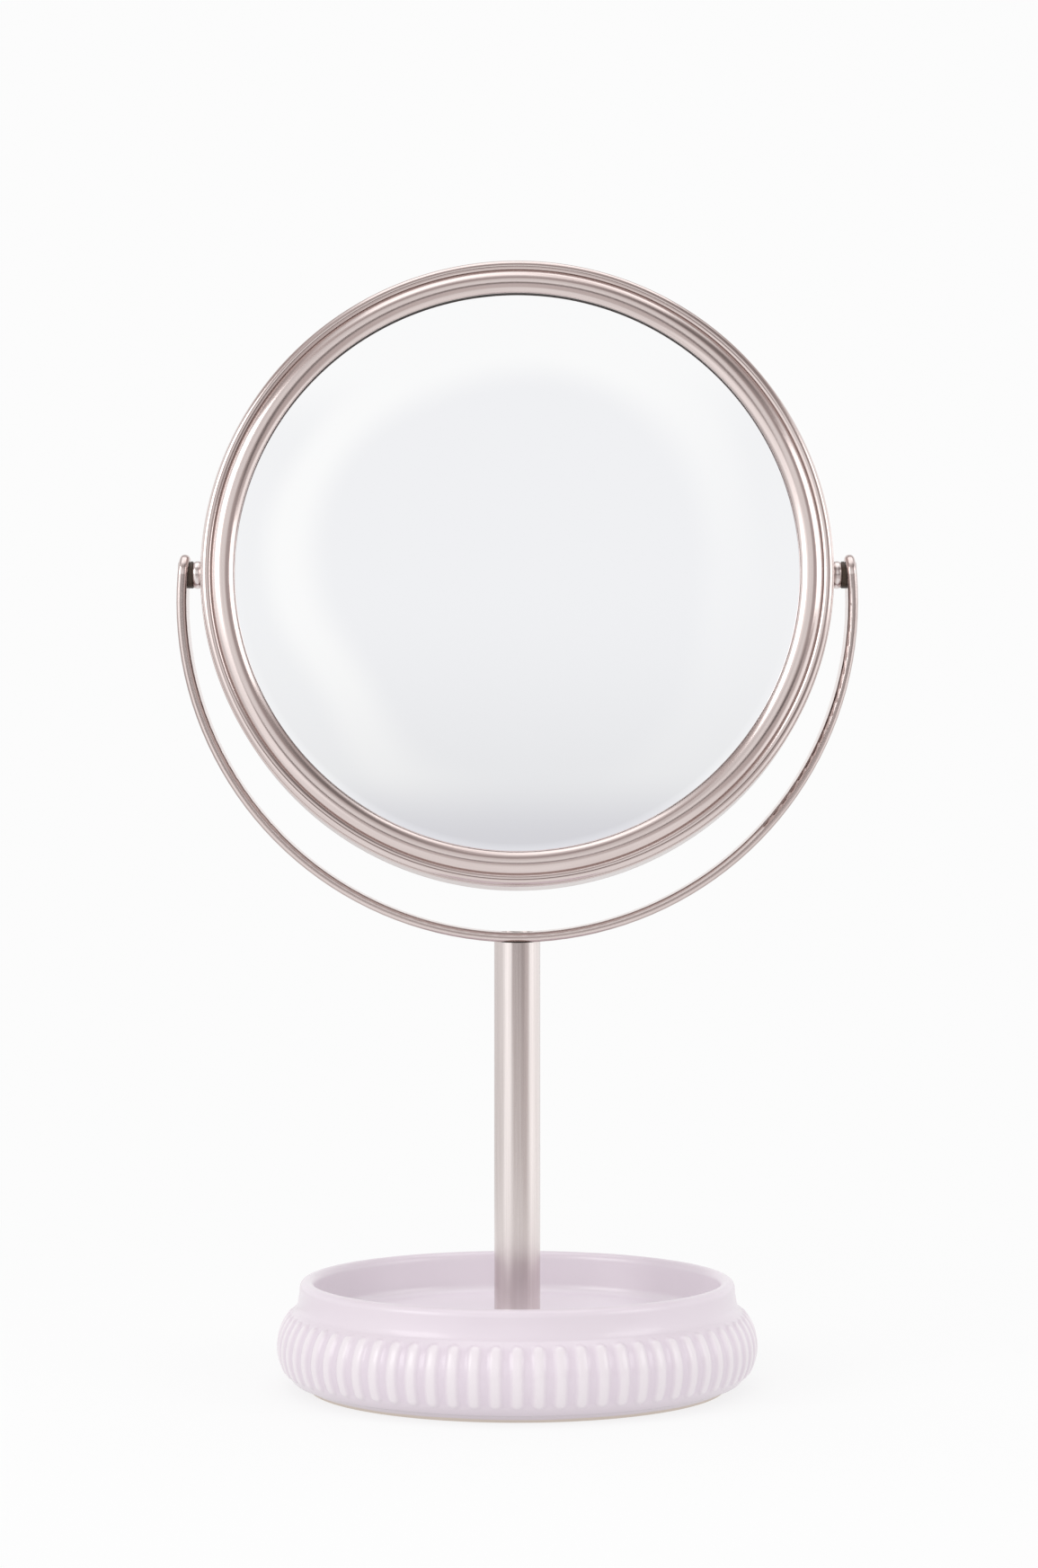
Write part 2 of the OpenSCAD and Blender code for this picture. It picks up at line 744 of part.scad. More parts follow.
base_tray();
base_pad();
base_rubber_washer();
base_clamp_washer();
base_bolt();
post_gasket();
post_tube();
post_bottom_plug();
post_top_plug();
yoke();
yoke_screw();
pivot_washer_left();
pivot_washer_right();
pivot_spacer_left();
pivot_spacer_right();
pivot_screw_left();
pivot_screw_right();
pivot_insert_left();
pivot_insert_right();
rim_band();
front_bezel();
rear_bezel();
front_seal();
rear_seal();
magnifying_glass();
plain_glass();
mirror_carrier();
front_foam();
rear_foam();
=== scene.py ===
import bpy
import bmesh
import json
import math
from mathutils import Matrix, Vector


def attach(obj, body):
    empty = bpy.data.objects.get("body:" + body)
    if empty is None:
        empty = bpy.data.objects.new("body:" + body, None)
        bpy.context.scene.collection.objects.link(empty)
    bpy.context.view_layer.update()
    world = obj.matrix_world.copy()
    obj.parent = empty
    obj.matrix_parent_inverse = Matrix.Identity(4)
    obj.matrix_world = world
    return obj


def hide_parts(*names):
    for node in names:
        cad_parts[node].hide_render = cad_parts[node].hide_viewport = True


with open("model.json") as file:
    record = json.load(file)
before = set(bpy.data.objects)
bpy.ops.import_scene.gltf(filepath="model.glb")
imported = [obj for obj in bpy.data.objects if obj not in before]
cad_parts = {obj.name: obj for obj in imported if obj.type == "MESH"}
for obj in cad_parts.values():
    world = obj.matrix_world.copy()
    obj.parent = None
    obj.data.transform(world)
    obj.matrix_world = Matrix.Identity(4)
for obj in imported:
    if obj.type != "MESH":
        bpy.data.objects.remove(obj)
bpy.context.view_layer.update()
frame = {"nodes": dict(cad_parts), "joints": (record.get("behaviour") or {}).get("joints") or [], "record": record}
mm = 0.001
nodes = frame["nodes"]
pivotPoint = Vector(frame["joints"][0]["pos_m"])
print("frame loaded:", len(nodes), "nodes")

# the head's own axes: z out of the front glass, x along the pivots
headPose = {"tilt": 6.4}  # degrees, face up
headPlace = Matrix.Translation(pivotPoint) @ Matrix.Rotation(math.radians(90 - headPose["tilt"]), 4, "X")
pivotPlace = Matrix.Translation(pivotPoint) @ Matrix.Rotation(math.radians(90), 4, "Y")


# shader maths

class Wire:
    def __init__(self, tree, socket):
        self.tree = tree
        self.socket = socket

    def math(self, operation, *others):
        node = self.tree.nodes.new("ShaderNodeMath")
        node.operation = operation
        for socket, value in zip(node.inputs, (self, *others)):
            plug(self.tree, socket, value)
        return Wire(self.tree, node.outputs[0])

    def __add__(self, other):
        return self.math("ADD", other)

    def __radd__(self, other):
        return self.math("ADD", other)

    def __sub__(self, other):
        return self.math("SUBTRACT", other)

    def __rsub__(self, other):
        return (self * -1).math("ADD", other)

    def __mul__(self, other):
        return self.math("MULTIPLY", other)

    def __truediv__(self, other):
        return self.math("DIVIDE", other)

    def clamp(self):
        return self.math("MAXIMUM", 0).math("MINIMUM", 1)

    def step(self, low, high):  # smooth 0 to 1 as the value goes from low to high
        node = self.tree.nodes.new("ShaderNodeMapRange")
        node.interpolation_type = "SMOOTHSTEP"
        for name, value in {"Value": self, "From Min": low, "From Max": high}.items():
            plug(self.tree, node.inputs[name], value)
        return Wire(self.tree, node.outputs[0])


def plug(tree, socket, value):
    if isinstance(value, Wire):
        tree.links.new(value.socket, socket)
    else:
        socket.default_value = value


class Shade:
    def __init__(self, tree):
        self.tree = tree

    def add(self, kind, settings=None, inputs=None, output=0):
        node = self.tree.nodes.new("ShaderNode" + kind)
        for name, value in (settings or {}).items():
            setattr(node, name, value)
        for name, value in (inputs or {}).items():
            plug(self.tree, node.inputs[name], value)
        return Wire(self.tree, node.outputs[output])

    def split(self, vector):
        node = self.tree.nodes.new("ShaderNodeSeparateXYZ")
        plug(self.tree, node.inputs[0], vector)
        return [Wire(self.tree, socket) for socket in node.outputs]

    def join(self, x, y, z):
        return self.add("CombineXYZ", inputs={0: x, 1: y, 2: z})

    def spot(self, place=None):  # the piece's own coordinates, in the axes of place
        coords = self.add("TexCoord", output=3)
        if place is None:
            return coords
        turn = place.to_quaternion().inverted()
        shift = turn @ -place.to_translation()
        return self.add("Mapping", {"vector_type": "POINT"},
                        {"Vector": coords, "Location": shift, "Rotation": turn.to_euler()})

    def noise(self, vector, scale, detail=2.0, roughness=0.5):
        return self.add("TexNoise", inputs={"Vector": vector, "Scale": scale, "Detail": detail,
                                            "Roughness": roughness})

    def blend(self, factor, first, second):
        return self.add("Mix", {"data_type": "RGBA"}, {0: factor, 6: first, 7: second}, output=2)

    def bump(self, height, distance, strength):
        return self.add("Bump", inputs={"Height": height, "Distance": distance, "Strength": strength})


noiseMiddle = 0.5  # a noise runs from 0 to 1 about this


def fromAxis(x, y):
    return (x * x + y * y).math("SQRT")


def near(value, middle, reach):  # 1 at the middle, falling softly to 0 at the reach
    return (value - middle).math("ABSOLUTE").step(reach, 0)


def stepInMm(value, ends):  # the same smooth step, from one height or radius in mm to another
    return value.step(ends[0] * mm, ends[1] * mm)


def addBands(value, base, bands):  # the base, changed by each band as the value crosses it
    level = base
    for low, high, change in bands:
        level = value.step(low, high) * change + level
    return level


def newMaterial(name):
    material = bpy.data.materials.new(name)
    material.use_nodes = True
    tree = material.node_tree
    return material, Shade(tree), tree.nodes["Principled BSDF"].inputs


def setSockets(shade, inputs, values):
    for name, value in values.items():
        plug(shade.tree, inputs[name], value)


# metal

nickelLook = {
    # the third colour is that of the painted dark lines, painted shade and painted reflection, on the head and the
    # yoke
    "light": (0.81, 0.75, 0.735), "dark": (0.71, 0.645, 0.63), "paintedDark": (0.33, 0.265, 0.25),
    "head": (0.92, 0.875, 0.865), "plain": (1, 1, 1),  # tones that the colours are multiplied by
    "roughness": 0.23, "headRoughness": 0.17, "streakRough": 0.08, "cloudRough": 0.04,
    "fine": 2400.0, "coarse": 3.0, "slant": 0.83,  # brushing across and along the turned pieces
    "leastRadius": 0.00001,  # keeps the axis itself from dividing by nothing
    "post": (2400.0, 2400.0, 25.0), "cloud": 60.0,
    "streakFrom": 0.3, "streakGain": 1.6, "relief": 0.000012, "strength": 0.2}


def ringCoords(shade, place):
    # coordinates that run along the brushing of a turned piece: slow round the axis, quick across it
    x, y, z = shade.split(shade.spot(place))
    radius = fromAxis(x, y).math("MAXIMUM", nickelLook["leastRadius"])
    slow, quick = nickelLook["coarse"], nickelLook["fine"]
    return shade.join(x / radius * slow, y / radius * slow, (radius * nickelLook["slant"] + z) * quick)


def postCoords(shade):
    return shade.add("VectorMath", {"operation": "MULTIPLY"}, {0: shade.spot(), 1: nickelLook["post"]})


def nickelMaterial(name, coords, paintedLines=None, tone="plain", roughness="roughness"):
    material, shade, inputs = newMaterial(name)
    look = nickelLook
    light, dark, paintedDark = (tuple(c * t for c, t in zip(look[key], look[tone])) + (1,)
                           for key in ("light", "dark", "paintedDark"))
    streaks = shade.noise(coords(shade), 1.0)
    cloud = shade.noise(shade.spot(), look["cloud"])
    color = shade.blend(((streaks - look["streakFrom"]) * look["streakGain"]).clamp(), dark, light)
    # painted shade and painted reflection: darker where the given lines mask says
    if paintedLines:
        color = shade.blend(paintedLines(shade), color, paintedDark)
    uneven = (streaks - noiseMiddle) * look["streakRough"]
    rough = look[roughness] + uneven + (cloud - noiseMiddle) * look["cloudRough"]
    setSockets(shade, inputs, {
        "Base Color": color, "Metallic": 1.0, "Roughness": rough,
        "Normal": shade.bump(streaks, look["relief"], look["strength"])})
    return material


# painted dark hairlines round the head: painted shade in the seam and the step, and a painted reflection along the
# crest; a height and its spread limit two of them
paintedHeadLines = {
    "seam": {"radius": 85.85, "reach": 0.18, "strength": 0.1},
    "step": {"radius": 88.65, "reach": 0.25, "height": 7.7, "spread": 0.9, "strength": 0.6},
    "crest": {"radius": 87.2, "reach": 0.25, "height": 10.1, "spread": 0.8, "strength": 0.7}}


def headPaintedDark(shade):
    x, y, z = shade.split(shade.spot(headPlace))
    radius = fromAxis(x, y)
    height = z.math("ABSOLUTE")
    total = 0
    for line in paintedHeadLines.values():
        mark = near(radius, line["radius"] * mm, line["reach"] * mm)
        if "height" in line:
            mark = mark * near(height, line["height"] * mm, line["spread"] * mm)
        total = mark * line["strength"] + total
    return total


# mm: height and radius of the strip's bend, which the brushing follows, and how far from the strip's
# middle its narrow edges round over and carry a painted dark reflection
yokeShape = {"bend": 221.3, "middle": 94.53, "darkOut": (0.75, 1.3), "darkWide": (4.6, 5.3), "dark": 0.75}
yokePlace = (Matrix.Translation((0, 0, yokeShape["bend"] * mm))
             @ Matrix.Rotation(math.radians(90), 4, "X"))


# painted dark reflection along the yoke's rounded narrow edges
def yokePaintedEdges(shade):
    s = yokeShape
    x, y, z = shade.split(shade.spot(yokePlace))
    out = (fromAxis(x, y) - s["middle"] * mm).math("ABSOLUTE")
    return stepInMm(out, s["darkOut"]) * stepInMm(z.math("ABSOLUTE"), s["darkWide"]) * s["dark"]


# mirror glass

# the glass's colour is a painted reflection: a grey veil in the middle, clearing round it towards the upper left,
# greyer lower down and darker at the bottom
mirrorLook = {
    "clear": (0.965, 0.967, 0.97, 1), "reflectedVeil": (0.885, 0.89, 0.91, 1),
    "rest": (0.90, 0.905, 0.92, 1), "low": (0.77, 0.77, 0.81, 1),
    "middle": (3.0, -3.0), "half": (60.0, 65.0),  # mm, the painted veil's middle and half size
    "reflectedVeilEdge": (0.84, 1.04), "restEdge": (1.08, 1.25),  # shares of the painted veil's half size
    "restTop": (60, 35), "streak": (-90, 40), "lowAt": (-56.0, -76.0),  # mm
    "streakShare": 0.75, "drift": 0.6, "driftScale": 11.0, "driftDetail": 1.0, "hazeScale": 25.0,
    "roughness": 0.012}


def glassMaterial():
    material, shade, inputs = newMaterial("silveredGlass")
    look = mirrorLook
    x, y = shade.split(shade.spot(headPlace))[:2]
    haze = shade.noise(shade.spot(), look["hazeScale"])
    drift = shade.noise(shade.spot(), look["driftScale"], look["driftDetail"]) - noiseMiddle
    across = (x - look["middle"][0] * mm) / (look["half"][0] * mm)
    along = (y - look["middle"][1] * mm) / (look["half"][1] * mm)
    reach = fromAxis(across, along) + drift * look["drift"]
    reflectedStreak = stepInMm(y - x, look["streak"]) * look["streakShare"] + (1 - look["streakShare"])
    paintedReflection = shade.blend(reach.step(*look["reflectedVeilEdge"]) * reflectedStreak, look["reflectedVeil"], look["clear"])
    paintedReflection = shade.blend(reach.step(*look["restEdge"]) * stepInMm(y, look["restTop"]), paintedReflection, look["rest"])
    paintedReflection = shade.blend(stepInMm(y, look["lowAt"]), paintedReflection, look["low"])
    setSockets(shade, inputs, {
        "Base Color": paintedReflection, "Metallic": 1.0, "Roughness": look["roughness"] + haze * look["roughness"]})
    return material


# glaze

glazeLook = {
    "lilac": (0.70, 0.625, 0.685, 1), "valley": (0.67, 0.585, 0.66, 1), "cream": (0.82, 0.775, 0.79, 1),
    # low is painted shade near the foot; wall and floor, inside the tray, are painted light against the shade
    # inside it
    "low": (0.56, 0.49, 0.54, 1), "wall": (0.96, 0.94, 0.955, 1), "floor": (0.80, 0.735, 0.795, 1),
    # bare is the unglazed clay's colour, kept darker than the clay as painted shade under the foot
    "bare": (0.62, 0.54, 0.48, 1),
    "mottle": 35.0, "mottleDetail": 3.0, "grain": 900.0,
    "valleyAt": (0.42, 0.02), "valleyShare": 0.7,  # by the height of the ribs, 0 to 1
    "creamAt": (0.45, 1.0), "creamShare": 0.5, "cloudFrom": 0.45, "cloudGain": 0.4,
    "lowAt": (5.5, 1.5), "footShadeShare": 0.7,  # mm above the table, where the painted shade near the foot begins and is full
    "insideR": (57.6, 56.1), "insideZ": (16.0, 17.0), "wallZ": (18.3, 21.5),  # mm, where the inside of the tray is painted lighter, as painted light
    "footZ": (1.1, 0.7), "footWander": 0.6,  # mm, where the glaze ends
    "roughness": 0.3, "bareRough": 0.5, "coat": 0.3, "coatRoughness": 0.12,
    "grainShare": 0.15, "relief": 0.0001, "strength": 0.3}


def glazeMaterial():
    material, shade, inputs = newMaterial("lilacGlaze")
    look = glazeLook
    crest = shade.add("Attribute", {"attribute_name": "crest"}, output=2)
    x, y, z = shade.split(shade.spot())
    mottle = shade.noise(shade.spot(), look["mottle"], look["mottleDetail"])
    grain = shade.noise(shade.spot(), look["grain"])
    glaze = shade.blend(crest.step(*look["valleyAt"]) * look["valleyShare"], look["lilac"], look["valley"])
    glaze = shade.blend(crest.step(*look["creamAt"]) * look["creamShare"], glaze, look["cream"])
    glaze = shade.blend(((mottle - look["cloudFrom"]) * look["cloudGain"]).clamp(), glaze, look["cream"])
    # painted shade: darker towards the foot
    glaze = shade.blend(stepInMm(z, look["lowAt"]) * look["footShadeShare"], glaze, look["low"])
    # painted light: the inside wall and floor are lighter than the glaze outside, against the shade inside the
    # tray
    bowl = stepInMm(fromAxis(x, y), look["insideR"]) * stepInMm(z, look["insideZ"])
    insideLightened = shade.blend(stepInMm(z, look["wallZ"]), look["floor"], look["wall"])
    glaze = shade.blend(bowl, glaze, insideLightened)
    bare = stepInMm(z + (mottle - noiseMiddle) * (look["footWander"] * mm), look["footZ"])
    setSockets(shade, inputs, {
        "Base Color": shade.blend(bare, glaze, look["bare"]),
        "Roughness": look["roughness"] + bare * look["bareRough"],
        "Coat Weight": (1 - bare) * look["coat"], "Coat Roughness": look["coatRoughness"],
        "Normal": shade.bump(grain * look["grainShare"] + mottle, look["relief"], look["strength"])})
    return material


# finishes of the small pieces

plainFinishes = {
    "felt": {"name": "greyFelt", "color": (0.16, 0.15, 0.155), "roughness": 0.9,
             "grain": 1500.0, "relief": 0.0002, "spread": 0.5},
    "black_rubber": {"name": "blackRubber", "color": (0.02, 0.02, 0.02), "roughness": 0.6},
    "black_nylon": {"name": "darkNylon", "color": (0.06, 0.036, 0.02), "roughness": 0.45},
    "zinc_steel": {"name": "zincSteel", "color": (0.62, 0.63, 0.64), "roughness": 0.35, "metallic": 1.0},
    "screw_steel": {"name": "screwSteel", "color": (0.70, 0.66, 0.63), "roughness": 0.25, "metallic": 1.0},
    "brass": {"name": "turnedBrass", "color": (0.80, 0.60, 0.30), "roughness": 0.3, "metallic": 1.0},
    "white_plastic": {"name": "whitePlastic", "color": (0.75, 0.75, 0.72), "roughness": 0.45},
    "foam": {"name": "greyFoam", "color": (0.12, 0.12, 0.13), "roughness": 0.95,
             "grain": 900.0, "relief": 0.0003, "spread": 0.4}}


speckLook = {"detail": 3.0, "rough": 0.15, "strength": 0.5}


def plainMaterial(name, color, roughness, metallic=0.0, grain=400.0, relief=0.00003, spread=0.12):
    material, shade, inputs = newMaterial(name)
    speck = shade.noise(shade.spot(), grain, speckLook["detail"])
    dim = tuple(c * (1 - spread) for c in color)
    setSockets(shade, inputs, {
        "Base Color": shade.blend(speck, (*dim, 1), (*color, 1)), "Metallic": metallic,
        "Roughness": roughness + (speck - noiseMiddle) * speckLook["rough"],
        "Normal": shade.bump(speck, relief, speckLook["strength"])})
    return material


# mesh helpers

def arc(cx, cy, radius, start, end, count):
    return [(cx + radius * math.cos(math.radians(start + (end - start) * i / count)),
             cy + radius * math.sin(math.radians(start + (end - start) * i / count)))
            for i in range(count + 1)]


def lathe(outline, steps):
    # spins a closed outline of (radius, height) points, in mm, round the z axis
    bm = bmesh.new()
    ring = [bm.verts.new((r * mm, 0, z * mm)) for r, z in outline]
    edges = [bm.edges.new((a, b)) for a, b in zip(ring, ring[1:] + ring[:1])]
    bmesh.ops.spin(bm, geom=ring + edges, axis=(0, 0, 1), cent=(0, 0, 0), steps=steps,
                   angle=2 * math.pi, use_merge=True)
    bmesh.ops.remove_doubles(bm, verts=bm.verts, dist=0.0001 * mm)
    bmesh.ops.recalc_face_normals(bm, faces=bm.faces)
    return bm


def finishPiece(bm, name, material, body, replaced, place=None, smoothAngle=40):
    if place is not None:
        bmesh.ops.transform(bm, matrix=place, verts=bm.verts)
    mesh = bpy.data.meshes.new(name)
    bm.to_mesh(mesh)
    bm.free()
    mesh.materials.append(material)
    piece = bpy.data.objects.new(name, mesh)
    bpy.context.scene.collection.objects.link(piece)
    mesh.shade_smooth()
    mesh.set_sharp_from_angle(angle=math.radians(smoothAngle))
    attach(piece, body)
    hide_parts(replaced)


# head; outlines are (distance from the axis, distance from the head's middle plane), in mm

headSteps = 240
rimShape = {
    "radius": 89.0, "wall": 1.2, "half": 7.2, "corner": 0.4, "step": 0.35, "roll": 1.6, "rollRise": 1.3,
    "seam": 3.1, "cornerPoints": 12, "rollPoints": 24}


def rimOutline():
    s = rimShape
    rollR = s["radius"] - s["step"] - s["roll"]
    rollD = s["half"] + s["rollRise"]
    seam = s["radius"] - s["seam"]
    flange = s["half"] - s["wall"]
    corner = s["radius"] - s["corner"]
    meet = math.degrees(math.acos((rollR + s["roll"] - corner) / s["corner"]))
    top = math.degrees(math.acos((seam - rollR) / s["roll"]))
    side = arc(corner, s["half"] - s["corner"], s["corner"], 0, meet, s["cornerPoints"])
    side += arc(rollR, rollD, s["roll"], 0, top, s["rollPoints"])
    side += [(seam, flange), (s["radius"] - s["wall"], flange)]
    return side + [(r, -d) for r, d in reversed(side)]


def makeRim(nickel):
    finishPiece(lathe(rimOutline(), headSteps), "rimBand", nickel, "head",
                "rim_band", headPlace)
    print("rim band done")


bezelShape = {
    "outer": 85.88, "width": 6.68, "rise": 1.7, "wall": 1.0, "crest": 11.0, "skirt": 5.2, "lip": 9.15,
    "points": 20, "innerPoints": 16}


def bezelOutline():
    s = bezelShape
    outer = s["outer"]
    middle = outer - s["width"] / 2
    inner = outer - s["width"]
    bead = ((s["width"] / 2) ** 2 + s["rise"] ** 2) / (2 * s["rise"])
    centre = s["crest"] - bead
    edge = s["crest"] - s["rise"]
    spread = math.degrees(math.asin(s["width"] / 2 / bead))
    hollow = math.degrees(math.asin((s["width"] / 2 - s["wall"]) / (bead - s["wall"])))
    count = s["points"]
    line = [(outer, s["skirt"]), (outer, edge)]
    line += [(outer - s["width"] * i / (2 * count), s["crest"] - s["rise"] * (1 - i / count) ** 2)
             for i in range(1, count)]
    line += arc(middle, centre, bead, 90, 90 + spread, count)
    line += [(inner, s["lip"]), (inner + s["wall"], s["lip"])]
    line += arc(middle, centre, bead - s["wall"], 90 + hollow, 90 - hollow, s["innerPoints"])
    return line + [(outer - s["wall"], s["skirt"])]


def makeBezels(nickel):
    for side, name in ((1, "front"), (-1, "rear")):
        outline = [(r, side * d) for r, d in bezelOutline()]
        finishPiece(lathe(outline, headSteps), name + "Bezel", nickel, "head",
                    name + "_bezel", headPlace)
    print("bezels done")


glassShape = {
    "radius": 82.1, "face": 7.4, "deep": 4.7, "dish": 78.9, "thick": 2.5, "flat": 3.0, "edge": 0.2,
    "rings": 40, "steps": 180}


def makeGlasses(silver):
    s = glassShape
    curve = (s["dish"] ** 2 + s["deep"] ** 2) / (2 * s["deep"])
    centre = s["face"] - s["deep"] + curve
    radii = [s["dish"] * i / s["rings"] for i in range(s["rings"] + 1)]
    dish = [(r, centre - math.sqrt(curve ** 2 - r ** 2)) for r in radii]
    back = [(r, centre - math.sqrt((curve + s["thick"]) ** 2 - r * r)) for r in radii]
    front = dish + [(s["radius"] - s["edge"], s["face"]), (s["radius"], s["face"] - s["edge"])]
    outline = front + [(s["radius"], s["face"] - s["thick"])] + back[::-1]
    finishPiece(lathe(outline, s["steps"]), "magnifyingGlass", silver, "head",
                "magnifying_glass", headPlace)
    low = -s["face"]
    top = low + s["flat"]
    outline = [(0, low), (s["radius"] - s["edge"], low), (s["radius"], low + s["edge"]),
               (s["radius"], top), (0, top)]
    finishPiece(lathe(outline, s["steps"]), "plainGlass", silver, "head",
                "plain_glass", headPlace)
    print("glasses done")


sealShape = {"inner": 79.5, "width": 2.5, "low": 7.4, "top": 9.15}


def makeSeals(black):
    s = sealShape
    outer = s["inner"] + s["width"]
    for side, name in ((1, "front"), (-1, "rear")):
        outline = [(s["inner"], side * s["low"]), (outer, side * s["low"]), (outer, side * s["top"]),
                   (s["inner"], side * s["top"])]
        finishPiece(lathe(outline, headSteps), name + "Seal", black, "head",
                    name + "_seal", headPlace)
    print("seals done")


spacerShape = {
    "start": 89.0, "long": 2.6, "bore": 2.05, "end": 3.45, "middle": 3.9, "points": 16, "steps": 96}


def makeSpacers(nickel):  # turned spacers of the pivots, which swell in the middle
    s = spacerShape
    half = s["long"] / 2
    swell = s["middle"] - s["end"]
    bulge = (half ** 2 + swell ** 2) / (2 * swell)
    spread = math.degrees(math.asin(half / bulge))
    curve = arc(s["middle"] - bulge, s["start"] + half, bulge, -spread, spread, s["points"])
    line = [(s["bore"], s["start"]), *curve, (s["bore"], s["start"] + s["long"])]
    for side, name in ((-1, "Left"), (1, "Right")):
        outline = [(r, side * along) for r, along in line]
        finishPiece(lathe(outline, s["steps"]), "pivotSpacer" + name, nickel, "head",
                    "pivot_spacer_" + name.lower(), pivotPlace)
    print("spacers done")


# tray

trayShape = {
    "belly": 67.2, "curve": 13.4, "bellyZ": 12.0, "height": 30.2, "rim": 2.1, "inset": 5.8, "flare": 0.8,
    "floor": 18.0, "floorThick": 5.0, "fillet": 3.0, "hole": 3.8, "loops": (20.0, 40.0), "wallLoops": (3, 1),
    "foot": 58.8, "footWidth": 3.6, "footHigh": 2.3, "footLead": 0.2, "wall": 5.0, "rebate": 1.6,
    "shoulder": 1.0,
    "neck": (0.12, 1.6), "collarEase": 0.25, "collarHigh": 11.9, "collarLead": 1.5,  # under the rolled rim
    "footCurve": ((0.5, 0.55), (0.15, 0.12), (0, 0)),  # out from the foot and up
    "filletPoints": 8, "rimPoints": 16, "bellyPoints": 50, "cavityPoints": 10, "smoothAngle": 60}

ribShape = {
    "count": 72, "proud": 0.6, "width": 2.0, "top": 21.3, "low": 4.4, "steps": 12,
    "power": 2.6, "plainTone": 0.45, "slack": 0.05}  # slack is how far off the belly a point may be, mm


def trayOutline():
    s = trayShape
    bellyC = s["belly"] - s["curve"]
    rimC = s["belly"] - s["inset"] - s["rim"]
    rimZ = s["height"] - s["rim"]
    wallIn = rimC - s["rim"]
    collarR = rimC + s["rim"] + s["flare"]
    collarA = math.degrees(math.acos((collarR - bellyC) / s["curve"]))
    lowA = math.degrees(math.asin((s["footHigh"] + s["footLead"] - s["bellyZ"]) / s["curve"]))
    ceiling = s["floor"] - s["floorThick"]
    cavity = s["curve"] - s["wall"]
    cavityTop = math.degrees(math.asin((ceiling - s["bellyZ"]) / cavity))
    mouth = s["foot"] - s["footWidth"] - s["shoulder"]
    cavityLow = -math.degrees(math.acos((mouth - bellyC) / cavity))
    line = [(r, s["floor"]) for r in (s["hole"], *s["loops"])]
    line += arc(wallIn - s["fillet"], s["floor"] + s["fillet"], s["fillet"], -90, 0, s["filletPoints"])
    line += [(wallIn, rimZ - down) for down in s["wallLoops"]]
    line += arc(rimC, rimZ, s["rim"], 180, 0, s["rimPoints"])
    line += [(rimC + s["rim"] + s["neck"][0], rimZ - s["neck"][1]),
             (collarR - s["collarEase"], s["bellyZ"] + s["collarHigh"])]
    line += arc(bellyC, s["bellyZ"], s["curve"], collarA - s["collarLead"], lowA, s["bellyPoints"])
    line += [(s["foot"] + s["footHigh"], s["footHigh"])]
    line += [(s["foot"] + out, up) for out, up in s["footCurve"]]
    line += [(s["foot"] - s["footWidth"], 0), (s["foot"] - s["footWidth"], s["rebate"]),
             (mouth, s["rebate"])]
    line += arc(bellyC, s["bellyZ"], cavity, cavityLow, cavityTop, s["cavityPoints"])
    return line + [(r, ceiling) for r in (*s["loops"][::-1], s["hole"])]


def raiseRibs(bm):
    # lifts each rib out of the belly as a capsule along the meridian, and keeps its height as "crest"
    s = trayShape
    rib = ribShape
    bellyC = s["belly"] - s["curve"]
    crest = bm.verts.layers.float.new("crest")
    pitch = 2 * math.pi / rib["count"]
    top = math.asin((rib["top"] - s["bellyZ"]) / s["curve"]) * s["curve"] - rib["width"]
    low = math.asin((rib["low"] - s["bellyZ"]) / s["curve"]) * s["curve"] + rib["width"]
    for v in bm.verts:
        r = math.hypot(v.co.x, v.co.y) / mm
        z = v.co.z / mm
        out = math.hypot(r - bellyC, z - s["bellyZ"])
        if r < bellyC or abs(out - s["curve"]) > rib["slack"]:
            v[crest] = rib["plainTone"]
            continue
        along = math.atan2(z - s["bellyZ"], r - bellyC) * s["curve"]
        angle = math.atan2(v.co.y, v.co.x)
        across = (angle / pitch - round(angle / pitch)) * pitch * r
        past = max(0.0, along - top, low - along)
        share = min(1.0, math.hypot(across, past) / rib["width"])
        lift = 1 - share ** rib["power"] if share < 1 else 0.0
        if low < along < top:
            v[crest] = lift
        else:
            v[crest] = max(lift, rib["plainTone"] * min(1.0, past / rib["width"]))
        push = rib["proud"] * lift * mm
        v.co.x += math.cos(angle) * (r - bellyC) / out * push
        v.co.y += math.sin(angle) * (r - bellyC) / out * push
        v.co.z += (z - s["bellyZ"]) / out * push


def makeTray(glaze):
    bm = lathe(trayOutline(), ribShape["count"] * ribShape["steps"])
    raiseRibs(bm)
    finishPiece(bm, "ribbedTray", glaze, "stand", "base_tray",
                smoothAngle=trayShape["smoothAngle"])
    print("tray done")


# camera, floor and light

view = {"distance": 1.0, "height": 0.170, "side": 0.0005, "lens": 81.2, "sensor": 36.0,
        "nearest": 0.05, "farthest": 60.0}


def makeCamera():
    camera = bpy.data.cameras.new("viewCamera")
    camera.sensor_width = view["sensor"]
    camera.lens = view["lens"]
    camera.clip_start = view["nearest"]
    camera.clip_end = view["farthest"]
    holder = bpy.data.objects.new("viewCamera", camera)
    holder.location = (view["side"], -view["distance"], view["height"])
    holder.rotation_euler = (math.radians(90), 0, 0)
    bpy.context.scene.collection.objects.link(holder)
    bpy.context.scene.camera = holder


